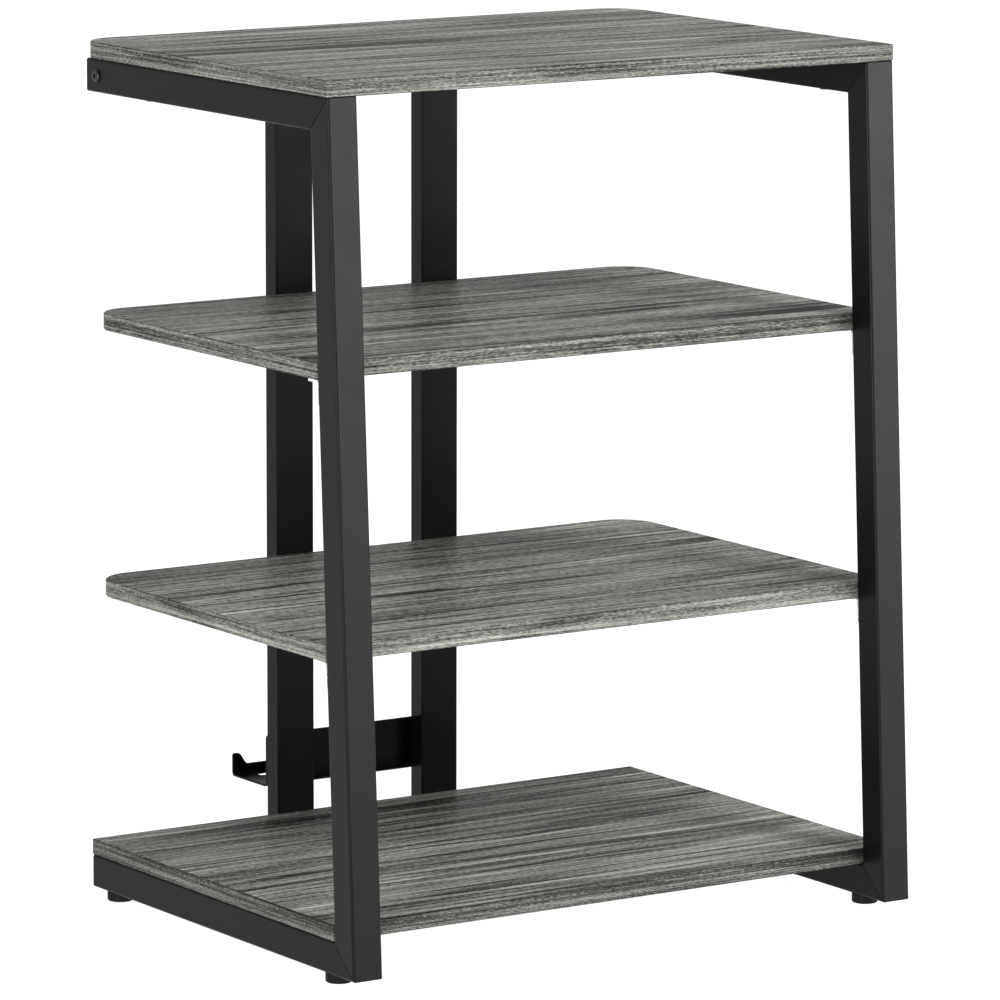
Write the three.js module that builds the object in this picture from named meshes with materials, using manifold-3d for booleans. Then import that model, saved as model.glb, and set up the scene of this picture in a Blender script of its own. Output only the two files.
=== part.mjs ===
// An audio equipment rack: two side frames of square tube whose front legs lean back, four boards
// between them, two posts at the rear and a folded power strip holder.
// Millimetres, +Z up, the front towards -Y. Heights are above the floor. Until the last step Y = 0 is
// the plane of the rear ends of the side rails. The origin ends up on the floor, at the middle of the
// rack's outline.
import * as THREE from "three";
import { mergeVertices } from "three/addons/utils/BufferGeometryUtils.js";
import Module from "manifold-3d";

const wasm = await Module();
wasm.setup();

// Whole rack
const rackWidth = 600;
const rackDepth = 450;
const legLean = 40;
const bayHeight = 230;
const bayCount = 3;

// Boards
const boardThickness = 15;
const boardCornerRadius = 37;
const boardEdgeEase = 0.8;
const boardLegGap = 0.3;

// Square tube of the side frames and crossbars
const tubeSize = 30;
const tubeWall = 1.5;
const tubeCornerRadius = 2;
const mitreGap = 0.3;

// Rear posts
const postWidth = 40;
const postDepth = 20;
const postWall = 1.2;
const postCornerRadius = 1.5;
const postSpacing = 160;

// Plastic plugs in the open tube ends
const plugFlange = 3;
const plugDepth = 9;
const plugClearance = 0.3;
const plugEdgeEase = 0.6;

// Crossbar ends
const endPlate = 3;
const endFlangeLength = 60;
const endFlangeScrewInset = 15;

// Button head screws: shank, head and socket
const boltShank = 6;
const boltHead = 11.3;
const boltHeadHeight = 2.4;
const boltSocket = 5;
const boltSocketDepth = 1.4;
const boltRimShare = 0.4;
const boltFlatShare = 0.62;
const boltTipEase = 0.5;
const boltBite = 9;
const boltClearance = 0.3;
const holderBoltShank = 5;
const holderBoltHead = 9.5;
const holderBoltHeadHeight = 2.4;
const holderBoltBite = 8;
const crossbarBoltInset = 18;
const boardBoltInset = 90;

// Levelling feet and their threaded inserts
const footHeight = 10;
const footDiameter = 24;
const footEdgeRadius = 1.6;
const footRearInset = 24;
const footFrontInset = 48;
const stemDiameter = 8;
const stemLength = 25;
const stemTipEase = 1;
const stemClearance = 0.3;
const insertWall = 1.6;
const insertLength = 14;
const insertFlange = 1;
const insertFlangeReach = 1.8;
const insertClearance = 0.2;

// Shelf brackets
const bracketSheet = 2;
const bracketShelfFlange = 15;
const bracketDrop = 22;
const bracketBend = 1.2;
const bracketGap = 0.3;
const bracketHole = 4.4;
const bracketShelfHoleSpacing = 14;
const bracketHoleInset = 6;

// Power strip holder
const holderWidth = 200;
const holderSheet = 2;
const holderRise = 21.5;
const holderPlateHeight = 50;
const holderTrayDepth = 63;
const holderBend = 1.5;
const holderCornerRadius = 4;
const holderLipHeight = 10.4;
const holderHookHeight = 21.5;
const holderHookWidth = 5;
const holderHookCornerRadius = 2;
const holderHookRun = 12;
const holderHookCurveShare = 0.45;
const holderBoltRise = 18;
const holderBoltSpacing = 20;
const slotCount = 4;
const slotLength = 30;
const slotWidth = 6;
const slotEndInset = 19;
const slotLipInset = 12;

// Facets
const cornerSegments = 2;
const boardCornerSegments = 8;
const bendSegments = 3;
const sweepSegments = 6;
const holeSegments = 12;
const screwSegments = 12;
const footSegments = 24;
const insertSegments = 16;
const crownSegments = 2;
const hexSides = 6;
const overrun = 5;

// Places that follow from the sizes above
const railBase = footHeight;
const railMiddle = railBase + tubeSize / 2;
const firstBoardBase = railBase + tubeSize;
const boardBase = (level) => firstBoardBase + level * (bayHeight + boardThickness);
const frameTop = boardBase(bayCount);
const topRailMiddle = frameTop - tubeSize / 2;
const frameHeight = frameTop - railBase;
const lean = Math.atan2(legLean, frameHeight);
const legFront = (height) => -rackDepth + (legLean * (height - railBase)) / frameHeight;
const legRear = (height) => legFront(height) + tubeSize / Math.cos(lean);
const railX = (rackWidth - tubeSize) / 2;
const railInnerFace = rackWidth / 2 - tubeSize;
const postX = postSpacing / 2;
const holderBase = boardBase(0) + boardThickness + holderRise;
const holderRear = postDepth + holderTrayDepth;
const sides = { left: -1, right: 1 };

// Materials
const wood = () => new THREE.MeshStandardMaterial({ color: 0x74746e, roughness: 0.62, metalness: 0 });
const blackMetal = () => new THREE.MeshStandardMaterial({ color: 0x232323, roughness: 0.42, metalness: 0.25 });
const darkSheet = () => new THREE.MeshStandardMaterial({ color: 0x121211, roughness: 0.5, metalness: 0.25 });
const whiteMetal = () => new THREE.MeshStandardMaterial({ color: 0xe6e6e6, roughness: 0.45, metalness: 0.1 });
const blackSteel = () => new THREE.MeshStandardMaterial({ color: 0x1c1c1c, roughness: 0.35, metalness: 0.7 });
const blackPlastic = () => new THREE.MeshStandardMaterial({ color: 0x161616, roughness: 0.6, metalness: 0 });
const zincSteel = () => new THREE.MeshStandardMaterial({ color: 0xa8a9ab, roughness: 0.35, metalness: 1 });

// A closed geometry as a solid for cutting and joining
function toSolid(geometry) {
  const bare = geometry.clone();
  bare.deleteAttribute("normal");
  bare.deleteAttribute("uv");
  const merged = mergeVertices(bare);
  return new wasm.Manifold(
    new wasm.Mesh({
      numProp: 3,
      vertProperties: new Float32Array(merged.attributes.position.array),
      triVerts: new Uint32Array(merged.index.array),
    }),
  );
}

function toGeometry(solid) {
  const mesh = solid.getMesh();
  const geometry = new THREE.BufferGeometry();
  geometry.setAttribute("position", new THREE.BufferAttribute(mesh.vertProperties, mesh.numProp));
  geometry.setIndex(new THREE.BufferAttribute(mesh.triVerts, 1));
  geometry.computeVertexNormals();
  return geometry;
}

// The geometry less all the tools
function cut(geometry, tools) {
  const solid = tools.reduce((rest, tool) => rest.subtract(toSolid(tool)), toSolid(geometry));
  return toGeometry(solid);
}

function join(geometries) {
  const [first, ...others] = geometries.map(toSolid);
  return toGeometry(others.reduce((whole, next) => whole.add(next), first));
}

function mesh(name, geometry, material, x = 0, y = 0, z = 0) {
  const made = new THREE.Mesh(geometry, material);
  made.name = name;
  made.position.set(x, y, z);
  return made;
}

// Outlines drawn about their middle, the corners rounded
function roundedRectangle(width, height, radius) {
  const x = width / 2;
  const y = height / 2;
  const shape = new THREE.Shape();
  shape.moveTo(-x + radius, -y);
  shape.lineTo(x - radius, -y);
  shape.absarc(x - radius, -y + radius, radius, -Math.PI / 2, 0);
  shape.lineTo(x, y - radius);
  shape.absarc(x - radius, y - radius, radius, 0, Math.PI / 2);
  shape.lineTo(-x + radius, y);
  shape.absarc(-x + radius, y - radius, radius, Math.PI / 2, Math.PI);
  shape.lineTo(-x, -y + radius);
  shape.absarc(-x + radius, -y + radius, radius, Math.PI, 1.5 * Math.PI);
  shape.closePath();
  return shape;
}

function hollowSection(width, height, wall, radius) {
  const shape = roundedRectangle(width, height, radius);
  const inside = Math.max(radius - wall, wall / 2);
  shape.holes.push(roundedRectangle(width - 2 * wall, height - 2 * wall, inside));
  return shape;
}

// A straight extrusion from zero along +Z, along +X (outline in Y and Z) or along -Y (outline in X and Z)
function extrudeUp(shape, length, curveSegments = cornerSegments) {
  return new THREE.ExtrudeGeometry(shape, { depth: length, bevelEnabled: false, curveSegments });
}

function extrudeAcross(shape, length, curveSegments = cornerSegments) {
  const geometry = extrudeUp(shape, length, curveSegments);
  const turned = new THREE.Matrix4().set(0, 0, 1, 0, 1, 0, 0, 0, 0, 1, 0, 0, 0, 0, 0, 1);
  return geometry.applyMatrix4(turned);
}

function extrudeForward(shape, length, curveSegments = cornerSegments) {
  return extrudeUp(shape, length, curveSegments).rotateX(Math.PI / 2);
}

// A straight round tool between two places on one axis, centred on the other two coordinates
function drillX(radius, from, to, y, z) {
  const tool = new THREE.CylinderGeometry(radius, radius, Math.abs(to - from), holeSegments);
  return tool.rotateZ(Math.PI / 2).translate((from + to) / 2, y, z);
}

function drillY(radius, from, to, x, z) {
  const tool = new THREE.CylinderGeometry(radius, radius, Math.abs(to - from), holeSegments);
  return tool.translate(x, (from + to) / 2, z);
}

function drillZ(radius, from, to, x, y) {
  const tool = new THREE.CylinderGeometry(radius, radius, Math.abs(to - from), holeSegments);
  return tool.rotateX(Math.PI / 2).translate(x, y, (from + to) / 2);
}

// The outline of sheet metal that follows a centre line and bends at its corners
function foldedStrip(centreLine, thickness, insideRadius) {
  const middleRadius = insideRadius + thickness / 2;
  const points = centreLine.map(([x, y]) => new THREE.Vector2(x, y));
  const leftOf = (direction) => new THREE.Vector2(-direction.y, direction.x);
  const left = [];
  const right = [];
  const addPair = (point, direction) => {
    left.push(point.clone().addScaledVector(leftOf(direction), thickness / 2));
    right.push(point.clone().addScaledVector(leftOf(direction), -thickness / 2));
  };
  points.forEach((corner, index) => {
    const before = points[index - 1];
    const after = points[index + 1];
    const arriving = before ? corner.clone().sub(before).normalize() : null;
    const leaving = after ? after.clone().sub(corner).normalize() : null;
    if (!arriving || !leaving) {
      addPair(corner, arriving || leaving);
      return;
    }
    const turn = Math.atan2(arriving.cross(leaving), arriving.dot(leaving));
    const setback = middleRadius * Math.tan(Math.abs(turn) / 2);
    const towardsCentre = leftOf(arriving).multiplyScalar(Math.sign(turn) * middleRadius);
    const centre = corner.clone().addScaledVector(arriving, -setback).add(towardsCentre);
    for (let step = 0; step <= bendSegments; step += 1) {
      const angle = (turn * step) / bendSegments;
      const direction = arriving.clone().rotateAround(new THREE.Vector2(), angle);
      const spoke = towardsCentre.clone().rotateAround(new THREE.Vector2(), angle);
      addPair(centre.clone().sub(spoke), direction);
    }
  });
  return new THREE.Shape([...left, ...right.reverse()]);
}

// A board as an outline with eased edges, its rear corners rounded where a radius is given
function boardGeometry(front, rear, cornerRadius) {
  const x = rackWidth / 2;
  const shape = new THREE.Shape();
  shape.moveTo(-x, front);
  shape.lineTo(x, front);
  if (cornerRadius > 0) {
    shape.lineTo(x, rear - cornerRadius);
    shape.absarc(x - cornerRadius, rear - cornerRadius, cornerRadius, 0, Math.PI / 2);
    shape.lineTo(-x + cornerRadius, rear);
    shape.absarc(-x + cornerRadius, rear - cornerRadius, cornerRadius, Math.PI / 2, Math.PI);
  } else {
    shape.lineTo(x, rear);
    shape.lineTo(-x, rear);
  }
  shape.closePath();
  const geometry = new THREE.ExtrudeGeometry(shape, {
    depth: boardThickness - 2 * boardEdgeEase,
    bevelThickness: boardEdgeEase,
    bevelSize: boardEdgeEase,
    bevelOffset: -boardEdgeEase,
    bevelSegments: 1,
    curveSegments: boardCornerSegments,
  });
  return geometry.translate(0, 0, boardEdgeEase);
}

// Where the bolts come up through the rails into the top and bottom boards
function boardBoltPlaces() {
  const rear = -boardBoltInset;
  const front = legRear(firstBoardBase) + boardBoltInset;
  return Object.entries(sides).flatMap(([side, sign]) => [
    { name: side + "_rear", x: sign * railX, y: rear },
    { name: side + "_front", x: sign * railX, y: front },
  ]);
}

// Blind holes in the underside of a board for the bolts that hold it down
function boardBoltHoles() {
  const radius = boltShank / 2 + boltClearance;
  const depth = boltBite + boltClearance;
  return boardBoltPlaces().map(({ x, y }) => drillZ(radius, -overrun, depth, x, y));
}

function boards() {
  const front = (level) => legRear(boardBase(level) + boardThickness) + boardLegGap;
  const bottom = cut(boardGeometry(front(0), 0, 0), boardBoltHoles());
  const top = cut(boardGeometry(legFront(frameTop), postDepth, boardCornerRadius), boardBoltHoles());
  const shelf = (level) => boardGeometry(front(level), 0, boardCornerRadius);
  const shelfNames = ["lower_shelf", "upper_shelf"];
  return [
    mesh("bottom_board", bottom, wood(), 0, 0, boardBase(0)),
    ...shelfNames.map((name, index) => mesh(name, shelf(index + 1), wood(), 0, 0, boardBase(index + 1))),
    mesh("top_board", top, wood(), 0, 0, frameTop),
  ];
}

// A block that covers one side of a mitre joint, from the outer to the inner corner and beyond
function mitreBlock(outer, inner, side) {
  const size = 4 * tubeSize;
  const along = inner.clone().sub(outer).normalize();
  const across = new THREE.Vector2(-along.y, along.x).multiplyScalar(side);
  const middle = outer.clone().addScaledVector(across, size / 2 - mitreGap / 2);
  const block = new THREE.BoxGeometry(2 * tubeSize, size, size);
  return block.rotateX(Math.atan2(along.y, along.x)).translate(0, middle.x, middle.y);
}

const cornerAt = (place, height) => new THREE.Vector2(place(height), height);
const topMitre = [cornerAt(legFront, frameTop), cornerAt(legRear, frameTop - tubeSize)];
const bottomMitre = [cornerAt(legFront, railBase), cornerAt(legRear, railBase + tubeSize)];

// The leaning front leg, its tube mitred to both rails
function legGeometry() {
  const section = hollowSection(tubeSize, tubeSize, tubeWall, tubeCornerRadius);
  const length = frameHeight / Math.cos(lean) + 2 * tubeSize;
  const tube = extrudeUp(section, length).translate(0, tubeSize / 2, -tubeSize);
  tube.rotateX(-lean).translate(0, legFront(railBase), railBase);
  return cut(tube, [mitreBlock(...topMitre, 1), mitreBlock(...bottomMitre, -1)]);
}

// A side rail from its plugged rear end to the mitre, with the walls that the bolts pass drilled
function railGeometry(height, mitre, side, holes) {
  const section = hollowSection(tubeSize, tubeSize, tubeWall, tubeCornerRadius);
  const tube = extrudeForward(section, rackDepth).translate(0, -plugFlange, height);
  return cut(tube, [mitreBlock(...mitre, side), ...holes]);
}

function railBoltHoles(height) {
  const radius = boltShank / 2 + boltClearance;
  const reach = tubeSize / 2 + overrun;
  const places = boardBoltPlaces().filter(({ name }) => name.startsWith("left"));
  return places.map(({ y }) => drillZ(radius, height - reach, height + reach, 0, y));
}

const footPlaces = () =>
  Object.entries(sides).flatMap(([side, sign]) => [
    { name: side + "_rear", x: sign * railX, y: -footRearInset },
    { name: side + "_front", x: sign * railX, y: footFrontInset - rackDepth },
  ]);

function topRailGeometry() {
  const reach = tubeSize / 2 + overrun;
  const radius = boltShank / 2 + boltClearance;
  const crossbarHole = drillX(radius, -reach, reach, -crossbarBoltInset, topRailMiddle);
  return railGeometry(topRailMiddle, topMitre, -1, [crossbarHole, ...railBoltHoles(topRailMiddle)]);
}

function bottomRailGeometry(inward) {
  const radius = boltShank / 2 + boltClearance;
  const flangeHoleY = endFlangeScrewInset - endFlangeLength;
  const flangeHole = drillX(radius, 0, inward * (tubeSize / 2 + overrun), flangeHoleY, railMiddle);
  const insertRadius = stemDiameter / 2 + stemClearance + insertWall + insertClearance;
  const footHoles = footPlaces()
    .filter(({ name }) => name.startsWith("left"))
    .map(({ y }) => drillZ(insertRadius, railBase - overrun, railMiddle, 0, y));
  return railGeometry(railMiddle, bottomMitre, 1, [flangeHole, ...footHoles, ...railBoltHoles(railMiddle)]);
}

// A plug: a flange as large as the tube and a body that fits inside it, along +Z
function plugGeometry(width, height, wall, radius) {
  const slack = 2 * (wall + plugClearance);
  const body = new THREE.BoxGeometry(width - slack, height - slack, plugDepth);
  const flange = new THREE.ExtrudeGeometry(roundedRectangle(width, height, radius), {
    depth: plugFlange - 2 * plugEdgeEase,
    bevelThickness: plugEdgeEase,
    bevelSize: plugEdgeEase,
    bevelOffset: -plugEdgeEase,
    bevelSegments: 1,
    curveSegments: cornerSegments,
  });
  flange.translate(0, 0, plugEdgeEase - plugFlange);
  return join([flange, body.translate(0, 0, plugDepth / 2)]);
}

function sideFrames() {
  return Object.entries(sides).map(([side, sign]) => {
    const frame = new THREE.Group();
    frame.position.x = sign * railX;
    frame.add(mesh(side + "_front_leg", legGeometry(), blackMetal()));
    frame.add(mesh(side + "_top_rail", topRailGeometry(), blackMetal()));
    frame.add(mesh(side + "_bottom_rail", bottomRailGeometry(-sign), blackMetal()));
    const heights = { top: topRailMiddle, bottom: railMiddle };
    Object.entries(heights).forEach(([level, height]) => {
      const plug = plugGeometry(tubeSize, tubeSize, tubeWall, tubeCornerRadius).rotateX(Math.PI / 2);
      frame.add(mesh(side + "_" + level + "_rail_plug", plug, blackPlastic(), 0, -plugFlange, height));
    });
    return frame;
  });
}

// Holes in the rear wall of a crossbar for the bolts that hold the posts
function postBoltHoles() {
  const radius = boltShank / 2 + boltClearance;
  return Object.values(sides).map((sign) => drillY(radius, -tubeSize / 2, overrun, sign * postX, 0));
}

function crossbarTube(length) {
  const section = hollowSection(tubeSize, tubeSize, tubeWall, tubeCornerRadius);
  return extrudeAcross(section, length).translate(-length / 2, -tubeSize / 2, 0);
}

// A plate across one end of a crossbar, from its rear face forwards
function crossbarEnd(sign, length, outerFace) {
  const plate = new THREE.BoxGeometry(endPlate, length, tubeSize);
  return plate.translate(sign * (outerFace - endPlate / 2), -length / 2, 0);
}

function topCrossbar() {
  const radius = boltShank / 2 + boltClearance;
  const span = railInnerFace + overrun;
  const ends = Object.values(sides).map((sign) => crossbarEnd(sign, tubeSize, railInnerFace));
  const tube = crossbarTube(2 * railInnerFace - endPlate);
  const boltHoles = Object.values(sides).map((sign) =>
    drillX(radius, sign * (railInnerFace - tubeSize), sign * span, -crossbarBoltInset, 0),
  );
  const geometry = cut(join([tube, ...ends]), [...boltHoles, ...postBoltHoles()]);
  return mesh("rear_top_crossbar", geometry, blackMetal(), 0, 0, topRailMiddle);
}

// The bottom crossbar's tube, between the two flanges that are welded to its ends
function bottomCrossbar() {
  const tube = crossbarTube(2 * (railInnerFace - endPlate));
  return mesh("rear_bottom_crossbar", cut(tube, postBoltHoles()), blackMetal(), 0, 0, railMiddle);
}

// Flanges along the inner faces of the bottom rails, bolted near their front ends
function bottomCrossbarFlanges() {
  const radius = boltShank / 2 + boltClearance;
  const boltY = endFlangeScrewInset - endFlangeLength;
  return Object.entries(sides).map(([side, sign]) => {
    const plate = crossbarEnd(sign, endFlangeLength, railInnerFace);
    const hole = drillX(radius, sign * (railInnerFace - tubeSize), sign * (railInnerFace + overrun), boltY, 0);
    return mesh(side + "_crossbar_flange", cut(plate, [hole]), blackMetal(), 0, 0, railMiddle);
  });
}

const holderBoltHeights = () => {
  const first = holderBase + holderBoltRise;
  return [first, first + holderBoltSpacing];
};

function posts() {
  const length = frameTop - railBase - plugFlange;
  const base = railBase + plugFlange;
  const throughHole = (height) =>
    drillY(boltShank / 2 + boltClearance, -overrun, postDepth + overrun, 0, height - base);
  const rearHole = (height) =>
    drillY(holderBoltShank / 2 + boltClearance, postDepth / 2, postDepth + overrun, 0, height - base);
  return Object.entries(sides).flatMap(([side, sign]) => {
    const section = hollowSection(postWidth, postDepth, postWall, postCornerRadius);
    const tube = extrudeUp(section, length).translate(0, postDepth / 2, 0);
    const holes = [railMiddle, topRailMiddle].map(throughHole);
    const geometry = cut(tube, [...holes, ...holderBoltHeights().map(rearHole)]);
    const plug = plugGeometry(postWidth, postDepth, postWall, postCornerRadius);
    plug.translate(0, postDepth / 2, 0);
    return [
      mesh(side + "_rear_post", geometry, blackMetal(), sign * postX, 0, base),
      mesh(side + "_post_plug", plug, blackPlastic(), sign * postX, 0, base),
    ];
  });
}

// A button head screw along +Z: its bearing face at zero, the crown above, the shank below
function screwGeometry(shank, length, head, headHeight) {
  const rim = headHeight * boltRimShare;
  const flat = (head / 2) * boltFlatShare;
  const profile = [new THREE.Vector2(0, -length)];
  profile.push(new THREE.Vector2(shank / 2 - boltTipEase, -length));
  profile.push(new THREE.Vector2(shank / 2, boltTipEase - length));
  profile.push(new THREE.Vector2(shank / 2, 0));
  profile.push(new THREE.Vector2(head / 2, 0));
  for (let step = 0; step <= crownSegments; step += 1) {
    const angle = (step / crownSegments) * (Math.PI / 2);
    const radius = flat + (head / 2 - flat) * Math.cos(angle);
    profile.push(new THREE.Vector2(radius, rim + (headHeight - rim) * Math.sin(angle)));
  }
  profile.push(new THREE.Vector2(0, headHeight));
  const body = new THREE.LatheGeometry(profile, screwSegments).rotateX(Math.PI / 2);
  const socket = new THREE.CylinderGeometry(boltSocket / 2, boltSocket / 2, 2 * boltSocketDepth, hexSides);
  return cut(body, [socket.rotateX(Math.PI / 2).translate(0, 0, headHeight)]);
}

// Rotations that turn a screw's head from +Z towards another side
const headTo = {
  minusX: (screw) => screw.rotation.set(0, -Math.PI / 2, 0),
  plusX: (screw) => screw.rotation.set(0, Math.PI / 2, 0),
  plusY: (screw) => screw.rotation.set(-Math.PI / 2, 0, 0),
  minusZ: (screw) => screw.rotation.set(Math.PI, 0, 0),
};

function screw(name, length, turn, x, y, z) {
  const made = mesh(name, screwGeometry(boltShank, length, boltHead, boltHeadHeight), blackSteel(), x, y, z);
  turn(made);
  return made;
}

// Bolts through the side rails into the top crossbar, and from the bottom crossbar into the rails
function crossbarBolts() {
  const throughRail = tubeSize + endPlate + boltBite;
  const flangeY = endFlangeScrewInset - endFlangeLength;
  const flangeFace = railInnerFace - endPlate;
  return Object.entries(sides).flatMap(([side, sign]) => {
    const outward = sign > 0 ? headTo.plusX : headTo.minusX;
    const inward = sign > 0 ? headTo.minusX : headTo.plusX;
    const topX = (sign * rackWidth) / 2;
    return [
      screw(side + "_top_crossbar_bolt", throughRail, outward, topX, -crossbarBoltInset, topRailMiddle),
      screw(side + "_bottom_crossbar_bolt", endPlate + boltBite, inward, sign * flangeFace, flangeY, railMiddle),
    ];
  });
}

function postBolts() {
  const length = postDepth + boltBite;
  return Object.entries(sides).flatMap(([side, sign]) => [
    screw(side + "_post_top_bolt", length, headTo.plusY, sign * postX, postDepth, topRailMiddle),
    screw(side + "_post_bottom_bolt", length, headTo.plusY, sign * postX, postDepth, railMiddle),
  ]);
}

// Long bolts that come up through the rails and hold the top and bottom boards
function boardBolts() {
  const length = tubeSize + boltBite;
  return boardBoltPlaces().flatMap(({ name, x, y }) => [
    screw("top_board_" + name + "_bolt", length, headTo.minusZ, x, y, frameTop - tubeSize),
    screw("bottom_board_" + name + "_bolt", length, headTo.minusZ, x, y, railBase),
  ]);
}

// The pad and threaded stem of a levelling foot, from the floor up
function footGeometry() {
  const padTop = footHeight - insertFlange;
  const profile = [new THREE.Vector2(0, 0)];
  for (let step = 0; step <= crownSegments; step += 1) {
    const angle = (step / crownSegments) * (Math.PI / 2);
    const inset = footEdgeRadius * (1 - Math.sin(angle));
    profile.push(new THREE.Vector2(footDiameter / 2 - inset, footEdgeRadius * (1 - Math.cos(angle))));
  }
  profile.push(new THREE.Vector2(footDiameter / 2, padTop));
  profile.push(new THREE.Vector2(stemDiameter / 2, padTop));
  profile.push(new THREE.Vector2(stemDiameter / 2, padTop + stemLength - stemTipEase));
  profile.push(new THREE.Vector2(stemDiameter / 2 - stemTipEase, padTop + stemLength));
  profile.push(new THREE.Vector2(0, padTop + stemLength));
  return new THREE.LatheGeometry(profile, footSegments).rotateX(Math.PI / 2);
}

// A flanged threaded insert that sits in the underside of a rail and takes the stem
function insertGeometry() {
  const bore = stemDiameter / 2 + stemClearance;
  const barrel = bore + insertWall;
  const flange = barrel + insertFlangeReach;
  const outline = [
    [bore, -insertFlange],
    [flange, -insertFlange],
    [flange, 0],
    [barrel, 0],
    [barrel, insertLength],
    [bore, insertLength],
    [bore, -insertFlange],
  ];
  const profile = outline.map(([radius, height]) => new THREE.Vector2(radius, height));
  return new THREE.LatheGeometry(profile, insertSegments).rotateX(Math.PI / 2);
}

function feet() {
  return footPlaces().flatMap(({ name, x, y }) => [
    mesh(name + "_foot", footGeometry(), blackPlastic(), x, y, 0),
    mesh(name + "_foot_insert", insertGeometry(), zincSteel(), x, y, railBase),
  ]);
}

// An L bracket whose drop follows a face that leans by the given angle. Its corner is at zero, under
// the shelf, and its shelf flange runs towards +Y.
function bracketGeometry(angle, gap) {
  const offset = gap + bracketSheet / 2;
  const down = (bracketSheet / 2 - Math.sin(angle) * offset) / Math.cos(angle);
  const along = (distance) => [
    Math.cos(angle) * offset - Math.sin(angle) * distance,
    -Math.sin(angle) * offset - Math.cos(angle) * distance,
  ];
  const centreLine = [[bracketShelfFlange, -bracketSheet / 2], along(down), along(bracketDrop)];
  const strip = extrudeAcross(foldedStrip(centreLine, bracketSheet, bracketBend), tubeSize);
  strip.translate(-tubeSize / 2, 0, 0);
  const holeY = bracketShelfFlange - bracketHoleInset;
  const shelfHoles = [-1, 1].map((sign) =>
    drillZ(bracketHole / 2, -bracketSheet - overrun, overrun, (sign * bracketShelfHoleSpacing) / 2, holeY),
  );
  const [dropY, dropZ] = along(bracketDrop - bracketHoleInset);
  const dropHole = drillY(bracketHole / 2, -overrun, overrun, 0, 0).rotateX(-angle).translate(0, dropY, dropZ);
  return cut(strip, [...shelfHoles, dropHole]);
}

function shelfBrackets() {
  const levels = { lower: boardBase(1), upper: boardBase(2) };
  return Object.entries(levels).flatMap(([level, height]) =>
    Object.entries(sides).flatMap(([side, sign]) => {
      const name = level + "_shelf_" + side;
      const atLeg = mesh(name + "_leg_bracket", bracketGeometry(lean, bracketGap), whiteMetal());
      atLeg.position.set(sign * railX, legRear(height), height);
      const atPost = mesh(name + "_post_bracket", bracketGeometry(0, 0), whiteMetal());
      atPost.position.set(sign * postX, 0, height);
      atPost.rotation.z = Math.PI;
      return [atLeg, atPost];
    }),
  );
}

// The front plate's outline in X and Z, its upper corners rounded
function holderPlateOutline() {
  const x = holderWidth / 2;
  const radius = holderCornerRadius;
  const shape = new THREE.Shape();
  shape.moveTo(-x, -overrun);
  shape.lineTo(x, -overrun);
  shape.lineTo(x, holderPlateHeight - radius);
  shape.absarc(x - radius, holderPlateHeight - radius, radius, 0, Math.PI / 2);
  shape.lineTo(-x + radius, holderPlateHeight);
  shape.absarc(-x + radius, holderPlateHeight - radius, radius, Math.PI / 2, Math.PI);
  shape.closePath();
  return shape;
}

// The rear lip's outline in X and Z: a hook at each end that sweeps down to the low lip
function holderLipOutline() {
  const x = holderWidth / 2;
  const radius = holderHookCornerRadius;
  const hookTop = holderHookHeight;
  const sweepTop = x - holderHookWidth;
  const sweepFoot = sweepTop - holderHookRun;
  const pull = holderHookRun * holderHookCurveShare;
  const shape = new THREE.Shape();
  shape.moveTo(-x, -overrun);
  shape.lineTo(x, -overrun);
  shape.lineTo(x, hookTop - radius);
  shape.absarc(x - radius, hookTop - radius, radius, 0, Math.PI / 2);
  shape.lineTo(sweepTop, hookTop);
  shape.bezierCurveTo(sweepTop - pull, hookTop, sweepFoot + pull, holderLipHeight, sweepFoot, holderLipHeight);
  shape.lineTo(-sweepFoot, holderLipHeight);
  shape.bezierCurveTo(-sweepFoot - pull, holderLipHeight, pull - sweepTop, hookTop, -sweepTop, hookTop);
  shape.lineTo(-x + radius, hookTop);
  shape.absarc(-x + radius, hookTop - radius, radius, Math.PI / 2, Math.PI);
  shape.closePath();
  return shape;
}

// An oblong slot through the tray floor, drawn in X and Y about its middle
function slotTool(x, y) {
  const outline = roundedRectangle(slotLength, slotWidth, slotWidth / 2);
  return extrudeUp(outline, 2 * overrun, bendSegments).translate(x, y, -overrun);
}

// One folded sheet: a plate on the posts, a tray floor behind it and a lip with a hook at each end
function powerStripHolder() {
  const front = postDepth + holderSheet / 2;
  const rear = holderRear - holderSheet / 2;
  const floor = holderSheet / 2;
  const centreLine = [
    [front, holderPlateHeight + overrun],
    [front, floor],
    [rear, floor],
    [rear, holderPlateHeight + overrun],
  ];
  const strip = extrudeAcross(foldedStrip(centreLine, holderSheet, holderBend), holderWidth);
  strip.translate(-holderWidth / 2, 0, 0);
  const middle = (front + rear) / 2;
  const reach = holderTrayDepth;
  const plate = extrudeForward(holderPlateOutline(), reach).translate(0, middle, 0);
  const lip = extrudeForward(holderLipOutline(), reach, sweepSegments).translate(0, middle + reach, 0);
  const folded = toSolid(strip);
  const trimmed = folded.intersect(toSolid(plate)).add(folded.intersect(toSolid(lip)));
  const pitch = (holderWidth - 2 * slotEndInset - slotLength) / (slotCount - 1);
  const firstSlot = -holderWidth / 2 + slotEndInset + slotLength / 2;
  const slots = Array.from({ length: slotCount }, (_, index) =>
    slotTool(firstSlot + index * pitch, holderRear - slotLipInset),
  );
  const radius = holderBoltShank / 2 + boltClearance;
  const boltHoles = Object.values(sides).flatMap((sign) =>
    holderBoltHeights().map((height) =>
      drillY(radius, postDepth - overrun, middle, sign * postX, height - holderBase),
    ),
  );
  const geometry = cut(toGeometry(trimmed), [...slots, ...boltHoles]);
  return mesh("power_strip_holder", geometry, darkSheet(), 0, 0, holderBase);
}

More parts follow.
